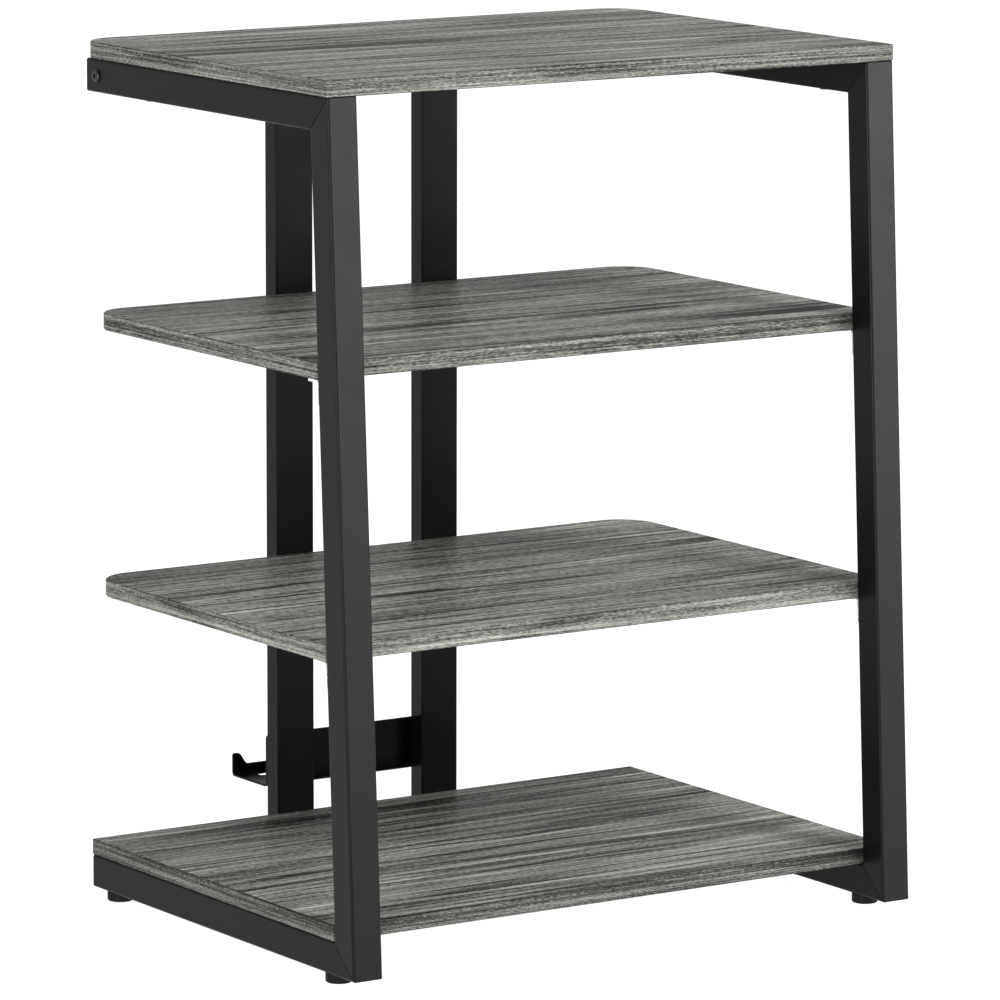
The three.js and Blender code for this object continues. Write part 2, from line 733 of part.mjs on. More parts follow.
function holderBolts() {
  const length = holderSheet + holderBoltBite;
  const levels = ["lower", "upper"];
  return Object.entries(sides).flatMap(([side, sign]) =>
    holderBoltHeights().map((height, index) => {
      const geometry = screwGeometry(holderBoltShank, length, holderBoltHead, holderBoltHeadHeight);
      const bolt = mesh(side + "_holder_" + levels[index] + "_bolt", geometry, blackSteel());
      bolt.position.set(sign * postX, postDepth + holderSheet, height);
      headTo.plusY(bolt);
      return bolt;
    }),
  );
}

// The whole rack, moved so that its outline's middle is over the origin
const rack = new THREE.Group();
rack.add(...boards());
rack.add(...sideFrames());
rack.add(topCrossbar());
rack.add(bottomCrossbar());
rack.add(...bottomCrossbarFlanges());
rack.add(...posts());
rack.add(powerStripHolder());
rack.add(...crossbarBolts());
rack.add(...postBolts());
rack.add(...boardBolts());
rack.add(...holderBolts());
rack.add(...shelfBrackets());
rack.add(...feet());
rack.position.y = (rackDepth - holderRear) / 2;

const assembly = new THREE.Group();
assembly.add(rack);
export default assembly;
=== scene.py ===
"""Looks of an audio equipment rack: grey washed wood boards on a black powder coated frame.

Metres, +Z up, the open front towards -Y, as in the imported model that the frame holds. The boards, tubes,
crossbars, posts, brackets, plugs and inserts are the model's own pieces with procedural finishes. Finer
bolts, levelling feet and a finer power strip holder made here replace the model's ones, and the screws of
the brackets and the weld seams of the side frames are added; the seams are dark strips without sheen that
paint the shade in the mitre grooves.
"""
import math

import bmesh
import bpy
from mathutils import Matrix, Vector
from mathutils.geometry import delaunay_2d_cdt


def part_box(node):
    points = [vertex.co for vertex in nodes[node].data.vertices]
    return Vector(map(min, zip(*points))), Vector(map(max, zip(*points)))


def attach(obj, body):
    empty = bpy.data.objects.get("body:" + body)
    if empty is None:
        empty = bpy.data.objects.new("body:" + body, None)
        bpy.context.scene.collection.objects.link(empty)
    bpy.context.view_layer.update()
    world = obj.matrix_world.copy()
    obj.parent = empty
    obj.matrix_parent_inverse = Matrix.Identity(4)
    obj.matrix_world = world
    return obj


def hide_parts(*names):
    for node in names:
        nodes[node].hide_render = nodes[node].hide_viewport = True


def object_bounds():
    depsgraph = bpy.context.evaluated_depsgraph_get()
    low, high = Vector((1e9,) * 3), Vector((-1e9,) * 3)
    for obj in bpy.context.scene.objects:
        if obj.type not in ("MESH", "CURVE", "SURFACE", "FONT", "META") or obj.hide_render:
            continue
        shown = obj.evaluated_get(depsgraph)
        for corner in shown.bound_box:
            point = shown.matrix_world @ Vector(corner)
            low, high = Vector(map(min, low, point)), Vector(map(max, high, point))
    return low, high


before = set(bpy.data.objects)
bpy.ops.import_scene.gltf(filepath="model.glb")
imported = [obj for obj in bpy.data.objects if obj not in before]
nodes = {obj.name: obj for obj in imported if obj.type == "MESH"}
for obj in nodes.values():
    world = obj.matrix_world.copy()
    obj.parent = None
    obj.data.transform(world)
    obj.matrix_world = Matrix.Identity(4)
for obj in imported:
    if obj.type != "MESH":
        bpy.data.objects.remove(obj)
cad_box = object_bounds()

MILLIMETRE = 0.001

# Camera, fitted to the photograph
CAMERA_PLACE = (-3.28546, -5.00900, 1.37174)
CAMERA_YAW = math.radians(33.475)
CAMERA_PITCH = math.radians(9.5005)
CAMERA_ROLL = math.radians(0.1208)
CAMERA_LENS = 239.31
CAMERA_SENSOR = 36.0
CAMERA_REACH = 100.0

# Studio
WHITE = (1, 1, 1, 1)
FLOOR_SIZE = 60.0
FLOOR_COLOUR = (0.2, 0.2, 0.2, 1)
FLOOR_ROUGHNESS = 0.9
FLOOR_GLOW = 0.97
SKY_ZENITH = 0.74
SKY_HORIZON = 0.67

# Soft boxes, in metres and watts, which all point at the middle of the rack
LIGHT_TARGET = (0, 0, 0.4)
LIGHTS = {
    "key": {"place": (1.75, -4.55, 3.95), "width": 1.4, "height": 1.4, "power": 350},
    "strip": {"place": (9.6, -12.8, 1.0), "width": 7.0, "height": 1.9, "power": 1260},
    "fill": {"place": (-2.4, -1.4, 0.75), "width": 1.4, "height": 1.4, "power": 84},
}

# The shader's sockets, by the words that the finishes use
SOCKETS = {
    "colour": "Base Color",
    "roughness": "Roughness",
    "specular": "Specular IOR Level",
    "metallic": "Metallic",
    "normal": "Normal",
    "glow_colour": "Emission Color",
    "glow": "Emission Strength",
}

# Finishes, as linear colours
COAT_COLOUR = (0.0029, 0.0029, 0.0028, 1)
# The posts' colour is painted shade: a darker copy of the frame's coat for the shadow that the shelves cast
# on them
POST_SHADE_COLOUR = (0.0020, 0.0020, 0.0019, 1)
SHEET_COLOUR = (0.0010, 0.0010, 0.0009, 1)
# The seam strips are painted shade: a dark strip without sheen for the shade in the mitre grooves
SEAM_SHADE_COLOUR = (0.0040, 0.0040, 0.0039, 1)
BOLT_COLOUR = (0.022, 0.022, 0.022, 1)
PLASTIC_COLOUR = (0.003, 0.003, 0.003, 1)
BRACKET_COLOUR = (0.78, 0.78, 0.76, 1)
ZINC_COLOUR = (0.55, 0.56, 0.57, 1)

# Powder coat, with its textures in waves in a metre
PEEL_WAVES = 950
PEEL_STRENGTH = 0.18
PEEL_DEPTH = 0.06 * MILLIMETRE
MOTTLE_WAVES = 14
MOTTLE_SHADES = (0.86, 1.14)
MOTTLE_ROUGHNESS = 0.05
# Lighter edges, partly worn coat and partly a painted highlight along the rounded corners: the waves and
# range of the noise that breaks them up, and how much lighter they are
WEAR_AND_HIGHLIGHT_WAVES = 160
WEAR_AND_HIGHLIGHT_RANGE = (0.3, 0.75)
EDGE_WEAR_AND_HIGHLIGHT_SHADE = 3.0
EDGE_RADIUS = 0.7 * MILLIMETRE
EDGE_TURN = (0.98, 0.75)
EDGE_SAMPLES = 4

# Moulded plastic
SPARK_WAVES = 2200
SPARK_STRENGTH = 0.25
SPARK_DEPTH = 0.05 * MILLIMETRE
PATCH_WAVES = 60
PATCH_SHADE = 1.35
PLASTIC_ROUGHNESS = (0.5, 0.64)
PLASTIC_SPECULAR = 0.12

# Plated or blackened steel
TURNING_WAVES = 1400
TURNING_STRENGTH = 0.15
TURNING_DEPTH = 0.04 * MILLIMETRE
TURNING_ROUGHNESS = (-0.08, 0.12)
RUB_WAVES = 320
RUB_RANGE = (0.5, 0.75)
RUB_SHADE = 1.5

# Boards: the layer of the noise that a board takes, the tones of its edge bands and of its faces, and where
# its knots are
BOARDS = {
    "bottom_board": {"layer": 3.0, "tones": (0.285, 0.54), "knots": [(-0.245, -0.045), (0.02, -0.01)]},
    "lower_shelf": {"layer": 4.7, "tones": (0.475, 0.55), "knots": [(-0.255, 0.02), (0.06, -0.03)]},
    "upper_shelf": {"layer": 6.4, "tones": (0.335, 0.56), "knots": [(-0.055, -0.02), (0.14, -0.08)]},
    "top_board": {
        "layer": 8.1,
        "tones": (0.405, 0.53),
        "knots": [(-0.16, -0.10), (0.22, -0.10), (0.04, -0.02)],
    },
}

# Wood: colours from the dark pores to the pale streaks
WOOD_STOPS = [
    (0.0, (0.006, 0.006, 0.006, 1)),
    (0.25, (0.036, 0.037, 0.034, 1)),
    (0.5, (0.140, 0.142, 0.128, 1)),
    (0.75, (0.256, 0.256, 0.232, 1)),
    (1.0, (0.402, 0.402, 0.362, 1)),
]
NOISE_MEAN = 0.5
WOOD_ROUGHNESS = (0.45, 0.36)
WOOD_SPECULAR = 0.03
PORE_STRENGTH = 0.3
PORE_DEPTH = 0.2 * MILLIMETRE
FACE_TILT = 0.9
BAND_TILT = 0.3
BAND_LAYER = 5.0
BAND_FOOT = (-1 * MILLIMETRE, -3 * MILLIMETRE)

# The dark line where a face meets its edge band
JOINT_COLOUR = (0.01, 0.01, 0.01, 1)
JOINT_STRENGTH = 0.75
JOINT_WAVES = 260
JOINT_RANGE = (0.42, 0.6)

# Knots, which the grain parts around
KNOT_LENGTH = 38 * MILLIMETRE
KNOT_WIDTH = 9 * MILLIMETRE
KNOT_PULL = 0.65
KNOT_CORE = 3.0

# Grain, as noise with so many waves in a metre along it and across it. The first of a pair is for the edge
# bands and the second for the faces.
SWAY = {"along": 2.4, "across": 8.0}
SWAY_REACH = (1.5 * MILLIMETRE, 22 * MILLIMETRE)
STREAKS = {
    "broad": {"along": 0.9, "across": 17.0},
    "wide": {"along": 1.8, "across": 80.0},
    "narrow": {"along": 3.0, "across": (400.0, 210.0), "roughness": 0.6},
    "fibres": {"along": (40.0, 24.0), "across": (1300.0, 900.0), "roughness": 0.6},
    "flecks": {"along": (240.0, 190.0), "across": (1500.0, 260.0), "detail": 1.0},
}
MARKS = {
    "smudges": {"along": 9.0, "across": 42.0, "detail": 1.0},
    "pores": {"along": 60.0, "across": 1500.0, "detail": 1.0},
}
MARK_RANGES = {"smudges": (0.62, 0.76), "pores": (0.62, 0.7)}

# Lines where a slow noise crosses its mean: their width in the noise's own units, and a shift across the
# grain, in metres, that sets them apart
LINES = {
    "heavy_lines": {"along": 0.5, "across": (110.0, 24.0), "width": 0.02, "shift": 0.0},
    "dark_lines": {"along": 0.7, "across": (160.0, 46.0), "width": 0.045, "shift": 0.71},
    "fine_lines": {"along": 1.3, "across": (220.0, 120.0), "width": 0.1, "shift": 0.0},
    "pale_lines": {"along": 1.0, "across": (160.0, 64.0), "width": 0.06, "shift": 0.37},
}
LINE_CORE = 0.2
LINE_BREAKS = {"along": 4.0, "across": 0.6}
LINE_BREAK_RANGE = (0.42, 0.62)

# How much each streak, line and mark adds to the tone, in the order in which they are added
WEIGHTS = {
    "broad": 0.2,
    "wide": (0.45, 0.25),
    "narrow": (0.7, 0.75),
    "fibres": 0.5,
    "flecks": (0.8, 0.75),
    "band_foot": 0.08,
    "heavy_lines": (-0.2, -0.5),
    "dark_lines": (-0.12, -0.35),
    "fine_lines": (-0.15, -0.3),
    "pale_lines": (0.18, 0.3),
    "smudges": (-0.15, -0.06),
    "knots": (0.0, -0.06),
    "pores": -0.15,
}

# Turned pieces
TURNED_SEGMENTS = 48
ROUND_STEPS = 8
THREAD_DEPTH_SHARE = 0.6
THREAD_STEPS = 8
CREASE = math.radians(35)

# Points of a mesh that are closer than this are one point
TOLERANCE = 1e-7

# Button head bolts, by the diameter of the head
BOLT_HEAD_HEIGHT = 2.4 * MILLIMETRE
BOLT_HEAD_EDGE = 0.25 * MILLIMETRE
BOLT_RIM_SHARE = 0.4
BOLT_FLAT_SHARE = 0.62
BOLT_SOCKET_DEPTH = 1.4 * MILLIMETRE
BOLT_SOCKET_CHAMFER = 0.3 * MILLIMETRE
BOLT_SOCKET_CONE = 0.4 * MILLIMETRE
BOLT_THREAD_LENGTH = 10 * MILLIMETRE
LARGE_BOLT = {"shank": 6 * MILLIMETRE, "socket": 5 * MILLIMETRE, "pitch": 1.0 * MILLIMETRE}
SMALL_BOLT = {"shank": 5 * MILLIMETRE, "socket": 4 * MILLIMETRE, "pitch": 0.8 * MILLIMETRE}
LARGE_BOLT_HEAD = 10 * MILLIMETRE

# Pan head screws of the brackets
SCREW_SHANK = 4 * MILLIMETRE
SCREW_TIP = 1 * MILLIMETRE
SCREW_HEAD = 7.6 * MILLIMETRE
SCREW_HEAD_HEIGHT = 2.1 * MILLIMETRE
SCREW_RIM_SHARE = 1 / 2
SCREW_FLAT_SHARE = 2 / 3
SCREW_PITCH = 1.4 * MILLIMETRE
SHELF_SCREW_LENGTH = 12 * MILLIMETRE
FRAME_SCREW_LENGTH = 7 * MILLIMETRE
RECESS_REACH = 2.0 * MILLIMETRE
RECESS_FLOOR_REACH = 1.2 * MILLIMETRE
RECESS_CORE = 0.75 * MILLIMETRE
RECESS_DEPTH = 1.4 * MILLIMETRE
RECESS_SLIMNESS = 6
BRACKET_SHEET = 2 * MILLIMETRE
BRACKET_HOLE_INSET = 6 * MILLIMETRE
BRACKET_HOLE_SPACING = 14 * MILLIMETRE

# Levelling feet
FOOT_PAD_HEIGHT = 9 * MILLIMETRE
FOOT_EDGE_RADIUS = 1.6 * MILLIMETRE
FOOT_TOP_EDGE = 0.6 * MILLIMETRE
FOOT_STEM = 8 * MILLIMETRE
FOOT_PITCH = 1.25 * MILLIMETRE

# Power strip holder, one folded sheet
HOLDER_SHEET = 2 * MILLIMETRE
HOLDER_BEND = 2.5 * MILLIMETRE
HOLDER_BEND_STEPS = 8
HOLDER_CORNER = 4 * MILLIMETRE
HOLDER_CORNER_STEPS = 6
HOLDER_LIP = 10.4 * MILLIMETRE
HOLDER_HOOK = 21.5 * MILLIMETRE
HOLDER_HOOK_WIDTH = 5 * MILLIMETRE
HOLDER_HOOK_CORNER = 2 * MILLIMETRE
HOLDER_HOOK_RUN = 12 * MILLIMETRE
HOLDER_HOOK_PULL = 0.45 * HOLDER_HOOK_RUN
HOLDER_HOOK_STEPS = 12
HOLDER_BOLT_HOLE = 2.7 * MILLIMETRE
WINDOW_COUNT = 4
WINDOW_LENGTH = 30 * MILLIMETRE
WINDOW_WIDTH = 14 * MILLIMETRE
WINDOW_CORNER = 3 * MILLIMETRE
WINDOW_END_INSET = 19 * MILLIMETRE
WINDOW_LIP_INSET = 7.5 * MILLIMETRE

# Weld seams: dark strips without sheen over the mitre joints, which paint the shade in their grooves
MITRE_GAP = 0.3 * MILLIMETRE
MITRE_SLANT = 0.3
SEAM_WIDTH = 0.7 * MILLIMETRE
SEAM_RISE = 0.04 * MILLIMETRE


class Tree:
    """The node tree of a material or a world, with short calls for the nodes that the finishes use."""

    def __init__(self, owner):
        owner.use_nodes = True
        self.owner = owner
        self.nodes = owner.node_tree.nodes
        self.links = owner.node_tree.links

    def new(self, kind, **settings):
        made = self.nodes.new(kind)
        for setting, value in settings.items():
            setattr(made, setting, value)
        return made

    def feed(self, socket, value):
        """Links an output into a socket, or sets the socket to a constant."""
        if isinstance(value, bpy.types.NodeSocket):
            self.links.new(value, socket)
        else:
            socket.default_value = value

    def surface(self, **values):
        """Feeds the sockets of the shader and gives the finished material."""
        shader = self.nodes["Principled BSDF"]
        for word, value in values.items():
            self.feed(shader.inputs[SOCKETS[word]], value)
        return self.owner

    def work_out(self, operation, first, second=0.0, clamp=False):
        made = self.new("ShaderNodeMath", operation=operation, use_clamp=clamp)
        self.feed(made.inputs[0], first)
        self.feed(made.inputs[1], second)
        return made.outputs[0]

    def plus(self, first, second):
        return self.work_out("ADD", first, second)

    def minus(self, first, second):
        return self.work_out("SUBTRACT", first, second)

    def times(self, first, second):
        return self.work_out("MULTIPLY", first, second)

    def mix(self, share, first, second):
        """A colour between two others."""
        made = self.new("ShaderNodeMix", data_type="RGBA")
        self.feed(made.inputs["Factor"], share)
        self.feed(made.inputs[6], first)
        self.feed(made.inputs[7], second)
        return made.outputs[2]

    def between(self, share, first, second):
        """A number between two others."""
        made = self.new("ShaderNodeMix", data_type="FLOAT")
        self.feed(made.inputs[0], share)
        self.feed(made.inputs[2], first)
        self.feed(made.inputs[3], second)
        return made.outputs[0]

    def join(self, x, y, z):
        made = self.new("ShaderNodeCombineXYZ")
        for socket, value in zip(made.inputs, (x, y, z)):
            self.feed(socket, value)
        return made.outputs[0]

    def split(self, vector):
        made = self.new("ShaderNodeSeparateXYZ")
        self.feed(made.inputs[0], vector)
        return made.outputs

    def place(self):
        """Where a point of the surface is, in metres."""
        return self.new("ShaderNodeTexCoord").outputs["Object"]

    def normal(self):
        """The way the surface faces, without any bump."""
        return self.new("ShaderNodeNewGeometry").outputs["True Normal"]

    def noise(self, vector, scale=1.0, detail=2.0, roughness=0.5):
        made = self.new("ShaderNodeTexNoise")
        self.feed(made.inputs["Vector"], vector)
        self.feed(made.inputs["Scale"], scale)
        self.feed(made.inputs["Detail"], detail)
        self.feed(made.inputs["Roughness"], roughness)
        return made.outputs["Fac"]

    def step(self, value, low, high):
        """0 before low, 1 past high and a smooth rise between them."""
        made = self.new("ShaderNodeMapRange", interpolation_type="SMOOTHSTEP")
        self.feed(made.inputs["Value"], value)
        self.feed(made.inputs["From Min"], low)
        self.feed(made.inputs["From Max"], high)
        return made.outputs[0]

    def ramp(self, value, stops):
        made = self.new("ShaderNodeValToRGB")
        elements = made.color_ramp.elements
        while len(elements) < len(stops):
            elements.new(0.5)
        for element, (position, colour) in zip(elements, stops):
            element.position = position
            element.color = colour
        self.feed(made.inputs[0], value)
        return made.outputs[0]

    def bump(self, height, strength, distance, normal=None):
        made = self.new("ShaderNodeBump")
        self.feed(made.inputs["Height"], height)
        self.feed(made.inputs["Strength"], strength)
        self.feed(made.inputs["Distance"], distance)
        if normal is not None:
            self.feed(made.inputs["Normal"], normal)
        return made.outputs[0]

    def rounded(self, radius):
        """The normal of a surface whose edges are rounded."""
        made = self.new("ShaderNodeBevel", samples=EDGE_SAMPLES)
        self.feed(made.inputs["Radius"], radius)
        return made.outputs[0]

    def edge(self, radius):
        """1 along the edges of a piece and 0 on its flats."""
        made = self.new("ShaderNodeVectorMath", operation="DOT_PRODUCT")
        self.feed(made.inputs[0], self.rounded(radius))
        self.feed(made.inputs[1], self.normal())
        return self.step(made.outputs["Value"], *EDGE_TURN)


class Grain:
    """The grain of a board: along X on its faces, and along each of its edge bands."""

    def __init__(self, tree, layer, middle, knots):
        self.tree = tree
        x, y, z = tree.split(tree.place())
        tilt = tree.work_out("ABSOLUTE", tree.split(tree.normal())[2])
        self.is_face = tree.work_out("GREATER_THAN", tilt, FACE_TILT)
        self.is_band = tree.work_out("LESS_THAN", tilt, BAND_TILT)
        self.layer = self.pick((layer + BAND_LAYER, layer))
        self.knots = 0.0
        parted = self.part(x, y, knots)
        self.along = self.pick((tree.plus(x, y), x))
        self.level = self.pick((tree.minus(z, middle), parted))
        sway = self.streaks(self.level, **SWAY)
        self.across = tree.plus(self.level, tree.times(sway, self.pick(SWAY_REACH)))

    def pick(self, value):
        """The first of a pair on the edge bands and the second on the faces; a single value stays."""
        return self.tree.between(self.is_face, *value) if isinstance(value, tuple) else value

    def part(self, x, y, knots):
        """The place across the faces, with the grain parted around each knot, whose core is kept."""
        tree = self.tree
        parted = y
        for knot_x, knot_y in knots:
            off_y = tree.minus(y, knot_y)
            run = tree.work_out("DIVIDE", tree.minus(x, knot_x), KNOT_LENGTH)
            rise = tree.work_out("DIVIDE", off_y, KNOT_WIDTH)
            far = tree.plus(tree.times(run, run), tree.times(rise, rise))
            near = tree.work_out("EXPONENT", tree.times(far, -1.0))
            core = tree.work_out("EXPONENT", tree.times(far, -KNOT_CORE))
            parted = tree.plus(parted, tree.times(off_y, tree.times(near, -KNOT_PULL)))
            self.knots = tree.plus(self.knots, core)
        return parted

    def noise(self, level, along, across, detail=2.0, roughness=0.5):
        """Noise drawn out along the grain; along and across are its waves in a metre."""
        tree = self.tree
        u = tree.times(self.along, self.pick(along))
        v = tree.times(level, self.pick(across))
        return tree.noise(tree.join(u, v, self.layer), detail=detail, roughness=roughness)

    def streaks(self, level, **waves):
        """The same noise, around zero."""
        return self.tree.minus(self.noise(level, **waves), NOISE_MEAN)

    def lines(self, along, across, width, shift):
        """Fine lines where a slow noise crosses its mean, broken by a second noise."""
        tree = self.tree
        level = tree.plus(self.across, shift)
        across = self.pick(across)
        off = tree.work_out("ABSOLUTE", self.streaks(level, along=along, across=across, detail=1.0))
        break_along = LINE_BREAKS["along"] * along
        break_across = tree.times(across, LINE_BREAKS["across"])
        breaks = tree.step(self.noise(level, break_along, break_across, detail=1.0), *LINE_BREAK_RANGE)
        return tree.times(tree.step(off, width, LINE_CORE * width), breaks)

    def band_foot(self):
        """1 on the lower part of an edge band, which is paler."""
        return self.tree.times(self.tree.step(self.level, *BAND_FOOT), self.is_band)

    def joint(self):
        """1 in the fine broken line between a face and its edge band."""
        tree = self.tree
        is_joint = tree.work_out("SUBTRACT", 1.0, tree.plus(self.is_face, self.is_band), clamp=True)
        return tree.times(is_joint, tree.step(tree.noise(tree.place(), JOINT_WAVES), *JOINT_RANGE))

    def figure(self):
        """Every streak, line and mark of the wood, by its name."""
        found = {name: self.streaks(self.across, **waves) for name, waves in STREAKS.items()}
        for name, waves in MARKS.items():
            found[name] = self.tree.step(self.noise(self.across, **waves), *MARK_RANGES[name])
        for name, line in LINES.items():
            found[name] = self.lines(**line)
        found["band_foot"] = self.band_foot()
        found["knots"] = self.knots
        return found


# Materials
def new_tree(name):
    return Tree(bpy.data.materials.new(name))


def shade(colour, factor):
    return tuple(factor * channel for channel in colour[:3]) + (1,)


def wood(name, middle, layer, tones, knots):
    """Grey washed wood: long streaks and growth lines on the faces, and finer ones on the edge bands."""
    tree = new_tree(name)
    grain = Grain(tree, layer, middle, knots)
    figure = grain.figure()
    tone = grain.pick(tones)
    for mark, weight in WEIGHTS.items():
        tone = tree.plus(tone, tree.times(figure[mark], grain.pick(weight)))
    tone = tree.work_out("ADD", tone, 0.0, clamp=True)
    joint = tree.times(grain.joint(), JOINT_STRENGTH)
    height = tree.minus(figure["fibres"], figure["pores"])
    return tree.surface(
        colour=tree.mix(joint, tree.ramp(tone, WOOD_STOPS), JOINT_COLOUR),
        roughness=tree.between(tone, *WOOD_ROUGHNESS),
        specular=WOOD_SPECULAR,
        normal=tree.bump(height, PORE_STRENGTH, PORE_DEPTH),
    )


def coat(name, colour, roughness, specular, wear_and_highlight_shade=EDGE_WEAR_AND_HIGHLIGHT_SHADE):
    """Powder coat: a fine orange peel, faint mottling, and lighter edges, partly where the coat is thinner
    and polished and partly a painted highlight along the rounded corners.
    """
    tree = new_tree(name)
    peel = tree.noise(tree.place(), PEEL_WAVES)
    mottle = tree.noise(tree.place(), MOTTLE_WAVES, detail=3.0)
    wear_and_highlight = tree.step(tree.noise(tree.place(), WEAR_AND_HIGHLIGHT_WAVES, detail=3.0), *WEAR_AND_HIGHLIGHT_RANGE)
    base = tree.mix(mottle, *(shade(colour, factor) for factor in MOTTLE_SHADES))
    return tree.surface(
        # The lighter edges are partly wear and partly a painted highlight that brightens the rounded
        # corners
        colour=tree.mix(tree.times(tree.edge(EDGE_RADIUS), wear_and_highlight), base, shade(colour, wear_and_highlight_shade)),
        roughness=tree.between(mottle, roughness - MOTTLE_ROUGHNESS, roughness + MOTTLE_ROUGHNESS),
        specular=specular,
        normal=tree.bump(peel, PEEL_STRENGTH, PEEL_DEPTH, tree.rounded(EDGE_RADIUS)),
    )


def plastic(name, colour):
    """Moulded plastic with a fine spark eroded texture."""
    tree = new_tree(name)
    sparks = tree.noise(tree.place(), SPARK_WAVES)
    patches = tree.noise(tree.place(), PATCH_WAVES)
    return tree.surface(
        colour=tree.mix(patches, colour, shade(colour, PATCH_SHADE)),
        roughness=tree.between(patches, *PLASTIC_ROUGHNESS),
        specular=PLASTIC_SPECULAR,
        normal=tree.bump(sparks, SPARK_STRENGTH, SPARK_DEPTH),
    )


def steel(name, colour, roughness, metallic):
    """Plated or blackened steel with fine turning marks and rubbed spots."""
    tree = new_tree(name)
    turning = tree.noise(tree.place(), TURNING_WAVES, detail=3.0)
    rubbed = tree.step(tree.noise(tree.place(), RUB_WAVES, detail=3.0), *RUB_RANGE)
    return tree.surface(
        colour=tree.mix(rubbed, colour, shade(colour, RUB_SHADE)),
        roughness=tree.between(turning, *(roughness + change for change in TURNING_ROUGHNESS)),
        metallic=metallic,
        normal=tree.bump(turning, TURNING_STRENGTH, TURNING_DEPTH),
    )


# Camera
def make_camera():
    camera = bpy.data.objects.new("camera", bpy.data.cameras.new("camera"))
    bpy.context.scene.collection.objects.link(camera)
    turn = Matrix.Rotation(-CAMERA_YAW, 4, "Z") @ Matrix.Rotation(math.pi / 2 - CAMERA_PITCH, 4, "X")
    turn = turn @ Matrix.Rotation(CAMERA_ROLL, 4, "Z")
    camera.matrix_world = Matrix.Translation(CAMERA_PLACE) @ turn
    camera.data.lens = CAMERA_LENS
    camera.data.sensor_width = CAMERA_SENSOR
    camera.data.clip_end = CAMERA_REACH
    bpy.context.scene.camera = camera


# Floor, sky and lights
def make_floor():
    bpy.ops.mesh.primitive_plane_add(size=FLOOR_SIZE)
    floor = bpy.context.active_object
    floor.name = "floor"
    material = new_tree("pale_floor").surface(
        colour=FLOOR_COLOUR,
        roughness=FLOOR_ROUGHNESS,
        specular=0.0,
        glow_colour=WHITE,
        glow=FLOOR_GLOW,
    )
    floor.data.materials.append(material)


def make_sky():
    """A studio dome: bright overhead and dimmer towards the horizon."""
    world = bpy.data.worlds.new("studio")
    bpy.context.scene.world = world
    tree = Tree(world)
    direction = tree.new("ShaderNodeTexCoord").outputs["Generated"]
    rise = tree.new("ShaderNodeMapRange")
    tree.feed(rise.inputs["Value"], tree.split(direction)[2])
    tree.feed(rise.inputs["To Min"], SKY_HORIZON)
    tree.feed(rise.inputs["To Max"], SKY_ZENITH)
    background = tree.nodes["Background"]
    tree.feed(background.inputs["Strength"], rise.outputs[0])
    tree.feed(background.inputs["Color"], WHITE)


def make_light(name, place, width, height, power):
    light = bpy.data.lights.new(name, "AREA")
    light.shape = "RECTANGLE"
    light.size = width
    light.size_y = height
    light.energy = power
    made = bpy.data.objects.new(name, light)
    bpy.context.scene.collection.objects.link(made)
    made.location = place
    made.rotation_euler = (Vector(LIGHT_TARGET) - Vector(place)).to_track_quat("-Z", "Y").to_euler()


make_camera()
make_floor()
make_sky()
for name, light in LIGHTS.items():
    make_light(name, **light)
bpy.context.scene.view_settings.view_transform = "Standard"

materials = {
    "black_frame": coat("black_coat", COAT_COLOUR, roughness=0.33, specular=0.11),
    # The rails' coat is a copy of the frame's coat with less sheen: painted shade that darkens the rails
    "side_rail": coat("rail_shade_coat", COAT_COLOUR, roughness=0.33, specular=0.085),
    # The posts' coat is a darker, duller copy of the frame's coat: painted shade for the shelves' shadow
    # over the posts
    "rear_post": coat("post_shade_coat", POST_SHADE_COLOUR, roughness=0.18, specular=0.08),
    "black_sheet": coat("sheet_coat", SHEET_COLOUR, roughness=0.28, specular=0.06),
    # The seam finish has no sheen, so the strip paints the shade in the mitre grooves
    "seam_shade": coat("seam_shade_coat", SEAM_SHADE_COLOUR, roughness=0.7, specular=0.0),
    "white_bracket": coat("white_coat", BRACKET_COLOUR, roughness=0.45, specular=0.5, wear_and_highlight_shade=1.0),
    "black_plug": plastic("plug_plastic", PLASTIC_COLOUR),
    "black_foot": plastic("foot_plastic", PLASTIC_COLOUR),
    "black_bolt": steel("black_oxide", BOLT_COLOUR, roughness=0.38, metallic=0.6),
    "zinc_insert": steel("zinc_plate", ZINC_COLOUR, roughness=0.35, metallic=1.0),
}
for board, look in BOARDS.items():
    low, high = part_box(board)
    materials[board] = wood("wood_" + board, (low.z + high.z) / 2, **look)


def finish_of(name, slot):
    """A board's own wood, the coat of a post or a rail, which are darker copies of the frame's coat that
    paint the shade on them, or else the finish of the slot.
    """
    if name in BOARDS:
        return materials[name]
    if name.endswith("rear_post"):
        return materials["rear_post"]
    if name.endswith("_rail"):
        return materials["side_rail"]
    return materials[slot]


for name, node in nodes.items():
    slot = node.material_slots[0].material.name
    node.material_slots[0].material = finish_of(name, slot)


# Meshes
def turned(name, rings):
    """A closed mesh of rings along Z, each a radius, or a function from the angle to it, and a height."""
    made = bmesh.new()
    angles = [2 * math.pi * index / TURNED_SEGMENTS for index in range(TURNED_SEGMENTS)]
    loops = []
    for radius, height in rings:
        reaches = [radius(angle) if callable(radius) else radius for angle in angles]
        points = [(r * math.cos(a), r * math.sin(a), height) for r, a in zip(reaches, angles)]
        loops.append([made.verts.new(point) for point in points])
    for below, above in zip(loops, loops[1:]):
        for index in range(TURNED_SEGMENTS):
            after = (index + 1) % TURNED_SEGMENTS
            made.faces.new((below[index], below[after], above[after], above[index]))
    made.faces.new(list(reversed(loops[0])))
    made.faces.new(loops[-1])
    return finished(name, made)


def finished(name, made):
    """Turns the edited mesh into a smooth one with sharp creases."""
    mesh = bpy.data.meshes.new(name)
    made.to_mesh(mesh)
    made.free()
    mesh.shade_smooth()
    mesh.set_sharp_from_angle(angle=CREASE)
    return mesh


